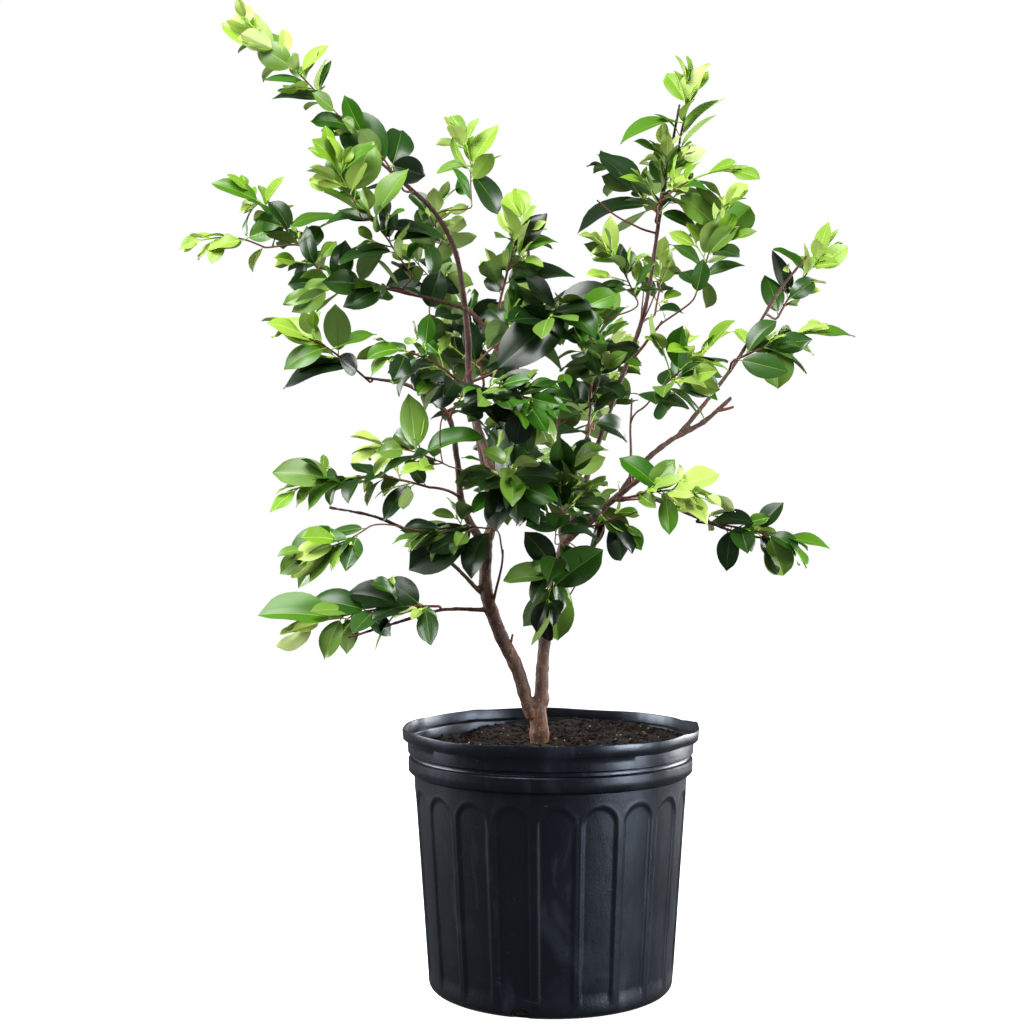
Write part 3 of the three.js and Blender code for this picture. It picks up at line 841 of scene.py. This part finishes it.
# The leaves that stand out on a mass: [share along its main shoot, how far the leaf reaches to the
# right and upward in mm, how wide it looks for its length, how far it bends back, tone].
SHOWN = {
    "top_left_tip": [
        (0.62, -48, 30, 0.55, 0.3, "young"), (0.42, -32, 21, 0.66, 0.5, "mid"),
        (0.36, 19, 27, 0.45, 0.4, "young"), (0.34, 8, 26, 0.4, 0.3, "young"),
        (0.3, -36, 8, 0.3, 0.4, "mid"), (0.12, -44, 14, 0.4, 0.6, "mature"),
        (0.2, 6, 30, 0.35, 0.3, "mid"),
    ],
    "top_left_pair": [(0.3, -40, 46, 0.68, 0.5, "mature"), (0.27, 30, -8, 0.85, 0.4, "dark")],
    "upper_left_bright": [
        (0.3, 18, 42, 0.75, 0.3, "mid"), (0.35, -16, 34, 0.7, 0.4, "mid"),
        (0.4, -26, 10, 0.6, 0.5, "young"), (0.7, 6, 22, 0.5, 0.3, "young"),
    ],
    "upper_left_fan": [
        (0.7, 24, 46, 0.4, 0.3, "mid"), (0.6, 48, 16, 0.3, 1.1, "dark"),
        (0.7, -46, 10, 0.3, 0.7, "mature"), (0.4, 46, 18, 0.4, 0.9, "mature"),
        (0.3, -48, 6, 0.3, 0.8, "mature"),
    ],
    "left_shoulder": [
        (0.85, -40, 22, 0.4, 0.4, "mid"), (0.8, 14, 26, 0.4, 0.3, "young"),
        (0.3, -6, -38, 0.35, 0.5, "dark"), (0.55, 40, 20, 0.35, 0.6, "mid"),
    ],
    "far_left_tip": [(0.9, -32, 2, 0.4, 0.4, "mid"), (0.3, 34, 14, 0.6, 0.4, "mid")],
    "left_middle_tip": [
        (0.6, -40, 26, 0.55, 0.3, "young"), (0.5, 34, 18, 0.35, 0.4, "mid"),
        (0.2, -62, 10, 0.3, 1.1, "dark"),
    ],
    "left_mid": [(0.45, -4, 46, 0.55, 0.2, "mid"), (0.35, 44, 22, 0.3, 0.5, "mid")],
    "left_low": [(0.7, -50, 12, 0.5, 0.5, "mid"), (0.6, -38, -18, 0.3, 0.6, "mid")],
    "left_drop": [(0.3, -52, -6, 0.35, 0.5, "mid"), (0.5, -36, -28, 0.5, 0.6, "mid")],
    "skirt_left": [(0.3, -58, -34, 0.6, 0.4, "dark"), (0.5, -46, -10, 0.4, 0.4, "mid")],
    "bottom_left": [
        (0.8, -62, 12, 0.38, 0.4, "mid"), (0.55, -46, 16, 0.42, 0.6, "mature"),
        (0.3, -44, 20, 0.45, 0.7, "dark"), (0.12, -30, 24, 0.6, 0.5, "dark"),
        (0.25, 22, -14, 0.6, 0.5, "mid"), (0.6, 26, -16, 0.5, 0.6, "mature"),
    ],
    "top_centre": [
        (0.5, 22, 40, 0.45, 0.2, "young"), (0.5, -30, 2, 0.4, 0.7, "mid"),
        (0.45, 30, -34, 0.55, 0.6, "mature"), (0.9, 8, 20, 0.4, 0.4, "young"),
    ],
    "upper_centre": [(0.3, 58, 24, 0.35, 0.7, "mature"), (0.6, 24, 34, 0.5, 0.5, "dark")],
    "heart": [(0.85, -58, -44, 0.58, 0.3, "dark"), (0.6, 50, 26, 0.5, 0.6, "dark")],
    "top_right_tip": [
        (0.6, 16, 40, 0.4, 0.3, "young"), (0.55, -6, 34, 0.35, 0.3, "young"),
        (0.25, 32, 42, 0.28, 0.5, "mid"), (0.4, -58, 2, 0.25, 0.9, "mid"),
    ],
    "top_right": [
        (0.3, 44, 2, 0.25, 0.4, "mid"), (0.5, 30, 30, 0.5, 0.4, "young"),
        (0.1, 38, -8, 0.4, 0.6, "mature"),
    ],
    "upper_right_arch": [(0.3, -34, 48, 0.5, 0.5, "dark"), (0.1, -70, 6, 0.3, 1.1, "dark")],
    "right_spire": [(0.5, 36, 36, 0.65, 0.5, "mid"), (0.7, -30, 30, 0.6, 0.4, "mid")],
    "far_right_tip": [
        (0.2, -8, 46, 0.45, 0.3, "dark"), (0.7, 34, 6, 0.3, 0.5, "mid"),
        (0.8, 4, 34, 0.3, 0.3, "young"), (0.6, -26, 24, 0.35, 0.4, "mid"),
    ],
    "far_right": [
        (0.55, 4, -38, 0.85, 0.3, "mid"), (0.75, 52, 8, 0.25, 0.4, "mid"),
        (0.4, 42, -12, 0.25, 0.6, "mature"),
    ],
    "bright_right": [(0.6, 34, 16, 0.5, 0.4, "young"), (0.4, -30, 30, 0.5, 0.4, "mid")],
    "right_low": [
        (0.35, -6, -36, 0.55, 0.4, "dark"), (0.6, 22, -32, 0.35, 0.4, "dark"),
        (0.6, 18, 24, 0.5, 0.4, "mature"), (0.75, 14, -34, 0.75, 0.4, "mid"),
        (0.85, 40, -2, 0.25, 0.4, "mid"),
    ],
    "bottom_centre": [
        (0.6, 40, 35, 0.58, 0.5, "mature"), (0.4, -42, 2, 0.42, 0.4, "mid"),
        (0.5, 4, -48, 0.68, 0.3, "mid"), (0.3, -24, 32, 0.6, 0.5, "dark"),
    ],
}

# Bare twigs: the limb that bears one, share along it, direction, length and thickness in mm.
TWIGS = [
    ("stem_left", 0.64, (0.15, -0.25, 1.0), 62, 3.0),
    ("stem_left", 0.42, (0.25, -0.2, 1.0), 18, 3.2),
    ("bough_left", 0.18, (-0.15, 0.1, 1.0), 50, 2.6),
    ("bough_left", 0.72, (-0.4, 0.0, 1.0), 28, 2.2),
    ("bough_centre", 0.42, (0.04, -0.2, 1.0), 48, 2.4),
    ("bough_upper_left", 0.4, (1.0, -0.1, 0.42), 142, 3.2),
    ("stem_right", 0.33, (0.42, -0.25, 1.0), 140, 1.9),
    ("bough_right", 0.22, (1.0, -0.3, 0.1), 58, 2.6),
    ("stem_centre", 0.95, (1.0, 0.0, 0.5), 45, 2.6),
    ("bough_right", 0.85, (0.08, 0.0, 1.0), 84, 3.0),
    ("bough_right_outer", 0.88, (1.0, 0.0, 0.1), 16, 3.6),
    ("stem_back_right", 0.43, (0.68, -0.25, 0.73), 56, 3.6),
    ("stem_back_right", 0.52, (0.5, -0.4, 0.85), 64, 1.9),
    ("stem_back_right", 0.52, (0.0, -0.4, 0.95), 50, 1.8),
    ("stem_back_right", 0.72, (-1.0, -0.2, 0.3), 70, 2.4),
]
BLADE_RATIO = 0.62  # breadth for length of a leaf seen flat
BACK = 115 * MM  # leaves further back than about this face the back
FACING = 0.42  # how far leaves turn to the front, or to the back
CROWDING = 5.5 * MM  # least room from a leaf's middle to another leaf, unless it stands out
STEP = 6 * MM  # length of one step of a shoot
TIP_RADIUS = 0.78 * MM
SIDE_TIP_RADIUS = 0.62 * MM
SHOWN_STALK = [0.8 * MM, 0.65 * MM, 0.5 * MM]  # radii from foot to leaf
LEAF_STALK = [0.75 * MM, 0.6 * MM, 0.45 * MM]
WOODY_SHARE = {"dark": 0.75, "mature": 0.55, "mid": 0.35, "young": 0.1}  # by the tone at the foot


class Crown:
    """Everything that grows on the limbs, gathered by kind."""

    def __init__(self, limbs):
        self.leaves = {tone: Heap() for tone in TONES}
        self.twigs = Heap()
        self.shoots = Heap()
        self.buds = Heap()
        self.bearers = [spot for spots in limbs.values() for spot in spots[2:]]
        self.taken = {}
        self.low = CAD_BOX[0] - Vector((6 * MM,) * 3)
        self.high = CAD_BOX[1] + Vector((6 * MM,) * 3)

    # -- small pieces

    def add_leaf(self, rng, foot, along, normal, length, tone, shade, **shape):
        young = TONES.index(tone) / 3
        form = Form(
            length=length,
            breadth=length * rng.uniform(0.52, 0.68) * (1 - 0.08 * young),
            fold=rng.uniform(0.15, 0.5) + 0.15 * young,
            droop=rng.uniform(0.0, 0.35),
            curl=rng.uniform(0.1, 1.25) * (1 - 0.35 * young),
            twist=rng.uniform(-0.5, 0.5),
            wave=rng.uniform(0, 1.3) * MM,
            phase=rng.uniform(0, 6),
        )._replace(**shape)
        corners = blade(foot, along, normal, form)
        tip = Vector(corners[-1])
        samples = [Vector(foot).lerp(tip, share) for share in (0.3, 0.55, 0.8)]
        if not shape and self.crowded(samples[1]):
            return False
        if any(tip[axis] < self.low[axis] or tip[axis] > self.high[axis] for axis in range(3)):
            return False
        for sample in samples:
            self.taken.setdefault(self.cell(sample), []).append(sample)
        finishes = [shade * 3 + part for part in BLADE_PARTS]
        self.leaves[tone].add(corners, BLADE_FACES, finishes)
        return True

    def cell(self, place, shift=(0, 0, 0)):
        return tuple(math.floor(place[axis] / CROWDING) + shift[axis] for axis in range(3))

    def crowded(self, place):
        """Whether a leaf already lies within CROWDING of a place."""
        steps = (-1, 0, 1)
        shifts = [(x, y, z) for x in steps for y in steps for z in steps]
        near = [other for shift in shifts for other in self.taken.get(self.cell(place, shift), [])]
        return any((place - other).length < CROWDING for other in near)

    def add_bud(self, rng, foot, along, length):
        side = along.orthogonal().normalized()
        points = [foot + along * length * share for share in (0, 0.3, 0.65, 1.0)]
        radii = [length * width for width in (0.1, 0.17, 0.12, 0.01)]
        points[2] = points[2] + side * length * 0.04
        vertices, faces = tube(points, radii, 6)
        self.buds.add(vertices, faces, [rng.choice((0, 0, 1))] * len(faces))

    def add_stalk(self, points, radii, heap, finish, sides=6):
        vertices, faces = tube(points, radii, sides)
        heap.add(vertices, faces, [finish] * len(faces))

    # -- shoots

    def show_leaf(self, rng, place, right, upward, width, bend, tone, shade):
        """A leaf that stands out. It reaches `right` and `upward` in mm and looks `width` as wide as long."""
        front = -1 if place.y < BACK else 1
        length = math.hypot(right, upward) * MM * (1.02 + 0.1 * bend)
        along = Vector((right * MM, rng.uniform(-0.25, 0.15) * length, upward * MM)).normalized()
        facing = Vector((0, front, 0))
        facing = (facing - along * facing.dot(along)).normalized()
        upper = along.cross(facing)
        if upper.z < 0:
            upper.negate()
        tilt = math.acos(min(1.0, width / BLADE_RATIO)) * rng.uniform(0.9, 1.05)
        normal = facing * math.cos(tilt) + upper * math.sin(tilt)
        stalk = along * 5 * MM
        ratio = max(width, BLADE_RATIO) * rng.uniform(0.94, 1.05)
        shape = {"breadth": length * ratio, "curl": bend, "twist": rng.uniform(-0.25, 0.25)}
        if self.add_leaf(rng, place + stalk, along, normal, length, tone, shade, **shape):
            stalk_path = [place, place + stalk * 0.5, place + stalk * 1.3]
            self.add_stalk(stalk_path, SHOWN_STALK, self.shoots, 1, 5)

    def dress(self, rng, path, spray, length_share, phase, from_share):
        """Leaves in a spiral along a shoot, two more at its end and a bud on its tip."""
        lengths = np.cumsum([0.0] + [(b - a).length for a, b in zip(path, path[1:])])
        total = lengths[-1]
        shade = rng.randrange(3)
        walked = total * from_share + 3 * MM
        number = 0
        while walked < total - 1 * MM:
            share = walked / total
            place = Vector([float(np.interp(walked, lengths, [p[axis] for p in path])) for axis in range(3)])
            index = min(int(np.searchsorted(lengths, walked)), len(path) - 1)
            ahead = (path[index] - path[index - 1]).normalized()
            leafy = (share - from_share) / (1 - from_share)
            turn = phase + number * GOLDEN_TURN
            self.leaf_at(rng, place, ahead, spray, leafy, turn, length_share, shade)
            number += 1
            walked += spray.gap * MM * rng.uniform(0.7, 1.05) * (1.1 - 0.35 * share)
        ahead = (path[-1] - path[-2]).normalized()
        for turn in range(2):
            around = phase + (number + turn) * 2.8
            self.leaf_at(rng, path[-1], ahead, spray, 1.0 + turn * 0.2, around, length_share, shade)
        self.add_bud(rng, path[-1] - ahead * 1 * MM, ahead, rng.uniform(6, 10) * MM)

    def leaf_at(self, rng, place, ahead, spray, share, turn, length_share, shade):
        level = ahead.cross(UP)
        if level.length < 0.2:
            level = ahead.orthogonal()
        level.normalize()
        rising = level.cross(ahead)
        flatness = 0.45 + 0.55 * abs(ahead.z)
        out = (level * math.cos(turn) + rising * math.sin(turn) * flatness).normalized()
        lean = math.radians(rng.uniform(42, 66) - 26 * min(share, 1.2))
        along = ahead * math.cos(lean) + out * math.sin(lean)
        along.z -= spray.hang * rng.uniform(0.3, 1.2)
        along.x += rng.uniform(-0.12, 0.12)
        along.y += rng.uniform(-0.12, 0.12)
        along.normalize()
        front = -1 if place.y < BACK * rng.uniform(0.7, 1.1) else 1
        if rng.random() < 0.06:
            front = -front
        normal = UP * rng.uniform(0.35, 0.9) + Vector((0, front, 0)) * FACING * rng.uniform(0.4, 1.4)
        normal += out * rng.uniform(-0.1, 0.45)
        normal += Vector([rng.uniform(-0.5, 0.5) for _ in range(3)])
        normal -= along * normal.dot(along)
        if normal.length < 0.1:
            return
        normal.normalize()
        tones = spray.tones
        pick = min(len(tones) - 1, int(min(share, 0.999) * len(tones) + rng.uniform(-0.35, 0.35)))
        tone = tones[max(0, pick)]
        size = spray.leaf * MM * length_share * rng.uniform(0.72, 1.1)
        size *= 1.08 - 0.25 * min(share, 1.0)
        if share >= 1.0:
            size *= 0.85 if share < 1.1 else 0.6
        stalk = along * (0.09 * size + 1.5 * MM)
        foot = place + stalk
        if self.add_leaf(rng, foot, along, normal, size, tone, shade):
            green = 0 if tone in ("dark", "mature") else 1
            middle = place + stalk * 0.5 - UP * 0.3 * MM
            self.add_stalk([place, middle, foot + along * 1.5 * MM], LEAF_STALK, self.shoots, green, 5)

    def grow(self, name, spray):
        """One mass: a twig from a limb or shoot near it, its main shoot and the side shoots on that."""
        rng = random.Random("spray " + name)
        solid = frame["nodes"]["leaves_" + name]
        corners = [corner.co.copy() for corner in solid.data.vertices]
        surface = BVHTree.FromPolygons(corners, [tuple(p.vertices) for p in solid.data.polygons])
        centre = sum(corners, Vector()) / len(corners)
        toward = Vector(spray.toward).normalized()
        ahead = max((corner - centre).dot(toward) for corner in corners)
        behind = max((centre - corner).dot(toward) for corner in corners)
        tip_corner = max(corners, key=lambda corner: (corner - centre).dot(toward))
        foot_corner = min(corners, key=lambda corner: (corner - centre).dot(toward))
        foot = foot_corner.lerp(centre - toward * behind, 0.5)
        tip = tip_corner.lerp(centre + toward * ahead, 0.25)
        tip -= toward * spray.leaf * 0.55 * MM

        def cost(spot):
            way = foot - spot.place
            far = way.length
            if far < 1 * MM:
                return far
            return far * (1.5 - 0.5 * way.normalized().dot(spot.forward)) + 1.2 * max(0, -way.z)

        bearer = min(self.bearers, key=cost)
        far = (foot - bearer.place).length
        leave = (bearer.forward * 0.5 + (foot - bearer.place).normalized()).normalized()
        path = [bearer.place.copy()] if far > 0.5 * MM else []
        if far > 4 * MM:
            path = []
            pulls = (bearer.place, bearer.place + leave * far * 0.3, foot - toward * far * 0.2, foot)
            count = max(3, round(far / STEP))
            for number in range(count):
                t = number / count
                weights = ((1 - t) ** 3, 3 * t * (1 - t) ** 2, 3 * t * t * (1 - t), t ** 3)
                path.append(sum((pull * weight for pull, weight in zip(pulls, weights)), Vector()))
        bare = len(path)
        bow = Vector((0, 0, 1)) * (tip - foot).length * (0.06 if toward.z > -0.3 else -0.04)
        bow += Vector([rng.uniform(-1, 1) for _ in range(3)]) * (tip - foot).length * 0.04
        count = max(4, round((tip - foot).length / STEP))
        for number in range(count + 1):
            t = number / count
            path.append(foot.lerp(tip, t) + bow * math.sin(math.pi * t))
        crooked = []
        for index, place in enumerate(path):
            sway = Vector((noise.noise(place * 40), noise.noise(place * 40 + UP * 9), 0))
            crooked.append(place + sway * 1.6 * MM * min(1, index / 3))
        path = crooked
        thick = min(bearer.radius * 0.85, (1.15 + 0.004 * len(path) + 0.05 * spray.sides) * MM)
        radii = [thick + (TIP_RADIUS - thick) * (index / (len(path) - 1)) for index in range(len(path))]
        woody = WOODY_SHARE[spray.tones[0]]
        change = min(len(path) - 2, max(bare, 1) + round((len(path) - bare) * woody))
        self.add_stalk(path[:change + 1], radii[:change + 1], self.twigs, 0)
        self.add_stalk(path[change:], radii[change:], self.shoots, 1)
        self.bearers += [
            Spot(place, radius, (after - place).normalized())
            for place, after, radius in zip(path[bare:-1], path[bare + 1:], radii[bare:-1])
        ]
        total = len(path) - 1
        for share, *leaf in SHOWN.get(name, []):
            self.show_leaf(rng, path[bare + round((total - bare) * share)], *leaf, rng.randrange(3))
        self.dress(rng, path, spray, 1.0, rng.uniform(0, 6), bare / total)
        for side in range(spray.sides):
            at = bare + (total - bare) * (0.08 + 0.8 * (side + rng.uniform(0.1, 0.9)) / max(1, spray.sides))
            index = min(total - 1, int(at))
            start = path[index]
            forward = (path[index + 1] - path[index]).normalized()
            out = forward.orthogonal().normalized()
            turn = side * GOLDEN_TURN + rng.uniform(-0.4, 0.4)
            out = out * math.cos(turn) + forward.cross(out) * math.sin(turn)
            heading = (forward * 0.65 + out * 0.9 + UP * 0.15).normalized()
            hit = surface.ray_cast(start + heading * 1 * MM, heading)
            room = (hit[0] - start).length if hit[0] else 20 * MM
            length = room - spray.leaf * 0.55 * MM
            length = max(9 * MM, min(length, 60 * MM))
            steps = max(3, round(length / STEP))
            twig = [start]
            for _ in range(steps):
                wander = Vector([rng.uniform(-0.08, 0.08) for _ in range(3)])
                heading = (heading + UP * 0.05 + wander).normalized()
                twig.append(twig[-1] + heading * length / steps)
            first = radii[index] * 0.72
            thin = [first + (SIDE_TIP_RADIUS - first) * step / steps for step in range(steps + 1)]
            heap = self.twigs if spray.tones[0] == "dark" and rng.random() < 0.5 else self.shoots
            self.add_stalk(twig, thin, heap, 0 if heap is self.twigs else 1)
            self.dress(rng, twig, spray, 0.92, rng.uniform(0, 6), 0.1)


def grow_twig(crown, rng, limb, share, toward, length, thick):
    """A bare twig, a little crooked, which can bear a spray."""
    index = round((len(limb) - 1) * share)
    place, heading = limb[index].place.copy(), Vector(toward).normalized()
    path = [place.copy()]
    steps = max(3, round(length / 6))
    for _ in range(steps):
        wander = Vector([rng.uniform(-0.07, 0.07) for _ in range(3)])
        heading = (heading + UP * 0.03 + wander).normalized()
        place += heading * length * MM / steps
        path.append(place.copy())
    radii = [thick * MM / 2 * (1 - 0.35 * step / steps) for step in range(steps + 1)]
    crown.add_stalk(path, radii, crown.twigs, 0, 7)
    crown.bearers += [
        Spot(here, radius, (ahead - here).normalized()) for here, ahead, radius in zip(path, path[1:], radii)
    ]


def grow_crown(limbs):
    crown = Crown(limbs)
    rng = random.Random("twigs")
    for limb, *shape in TWIGS:
        grow_twig(crown, rng, limbs[limb], *shape)

    def start_of(name):
        corners = [corner.co for corner in frame["nodes"]["leaves_" + name].data.vertices]
        toward = Vector(SPRAYS[name].toward)
        foot = min(corners, key=lambda corner: corner.dot(toward))
        return min((spot.place - foot).length for spot in crown.bearers)

    for name in sorted(SPRAYS, key=start_of):
        crown.grow(name, SPRAYS[name])
    return crown


def make_foliage(crown):
    slots = {part["node"]: part["material_slot"] for part in frame["record"]["subparts"]}
    for tone in TONES:
        heap = crown.leaves[tone]
        piece = joined(f"leaves_{tone}", heap.vertices, heap.faces, heap.finishes, leaf_finishes(tone), 50)
        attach(piece, "root")
        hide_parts(*[node for node, slot in slots.items() if slot == f"leaf_{tone}"])
    small = [
        ("twigs", crown.twigs, [plain("twig_bark", rgba(92, 48, 34), 0.6, 0.35)], "bark"),
        (
            "green_shoots",
            crown.shoots,
            [
                plain("older_shoot", rgba(92, 124, 48), 0.5, 0.4),
                plain("new_shoot", rgba(146, 182, 70), 0.48, 0.4),
            ],
            "leaf_young",
        ),
        (
            "buds",
            crown.buds,
            [
                plain("pale_bud", rgba(206, 222, 110), 0.45, 0.4),
                plain("green_bud", rgba(160, 196, 74), 0.45, 0.4),
            ],
            "leaf_young",
        ),
    ]
    for name, heap, finishes, slot in small:
        piece = joined(name, heap.vertices, heap.faces, heap.finishes, finishes, 60)
        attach(piece, "root")


# ---- Stage, light and camera -----------------------------------------------------------------------------


FLOOR_SIDE = 14
FILL_LIGHT = 0.16  # what the surroundings give; the camera sees them white
LENS = 57.1
CAMERA_PLACE = (-37 * MM, -1570 * MM, 455.6 * MM)


def make_stage():
    bpy.ops.mesh.primitive_plane_add(size=FLOOR_SIDE, location=(0, 0, 0))
    floor = name_piece(bpy.context.object, "floor", pale_floor())
    floor.visible_glossy = False
    floor.visible_diffuse = False
    world = bpy.data.worlds.new("studio")
    bpy.context.scene.world = world
    world.use_nodes = True
    tree = world.node_tree
    shade = tree.nodes["Background"]
    bright = tree.nodes.new("ShaderNodeBackground")
    bright.inputs["Color"].default_value = (1, 1, 1, 1)
    bright.inputs["Strength"].default_value = 1.0
    shade.inputs["Color"].default_value = (0.93, 0.96, 1, 1)
    shade.inputs["Strength"].default_value = FILL_LIGHT
    path = tree.nodes.new("ShaderNodeLightPath")
    mix = tree.nodes.new("ShaderNodeMixShader")
    tree.links.new(path.outputs["Is Camera Ray"], mix.inputs[0])
    tree.links.new(shade.outputs[0], mix.inputs[1])
    tree.links.new(bright.outputs[0], mix.inputs[2])
    tree.links.new(mix.outputs[0], tree.nodes["World Output"].inputs["Surface"])
    bpy.context.scene.view_settings.view_transform = "Standard"


def make_lights():
    softboxes = [
        # place, aimed at, size, power
        ((1.6, -0.95, 0.35), (0, 0, 0.25), 0.6, 46),
        ((-1.7, 0.35, 0.8), (0, 0, 0.4), 1.0, 48),
        ((-0.6, -0.9, 2.1), (0, 0, 0.6), 1.0, 56),
        ((-1.0, -1.4, 1.5), (0, 0, 0.6), 0.8, 12),
        ((1.5, 0.9, 0.6), (0, 0, 0.4), 1.0, 52),
    ]
    for number, (place, aim, size, power) in enumerate(softboxes):
        light = bpy.data.lights.new(f"softbox_{number}", "AREA")
        light.size = size
        light.energy = power
        holder = bpy.data.objects.new(light.name, light)
        holder.location = place
        holder.rotation_euler = (Vector(aim) - Vector(place)).to_track_quat("-Z", "Y").to_euler()
        bpy.context.scene.collection.objects.link(holder)


def make_camera():
    lens = bpy.data.cameras.new("camera")
    lens.sensor_width = 36
    lens.lens = LENS
    camera = bpy.data.objects.new("camera", lens)
    camera.location = CAMERA_PLACE
    camera.rotation_euler = (math.radians(90), 0, 0)
    bpy.context.scene.collection.objects.link(camera)
    bpy.context.scene.camera = camera


deselect()
make_camera()
make_stage()
make_lights()
make_pot()
make_soil()
make_crumbs()
limbs = limb_spots()
make_wood(limbs)
make_foliage(grow_crown(limbs))
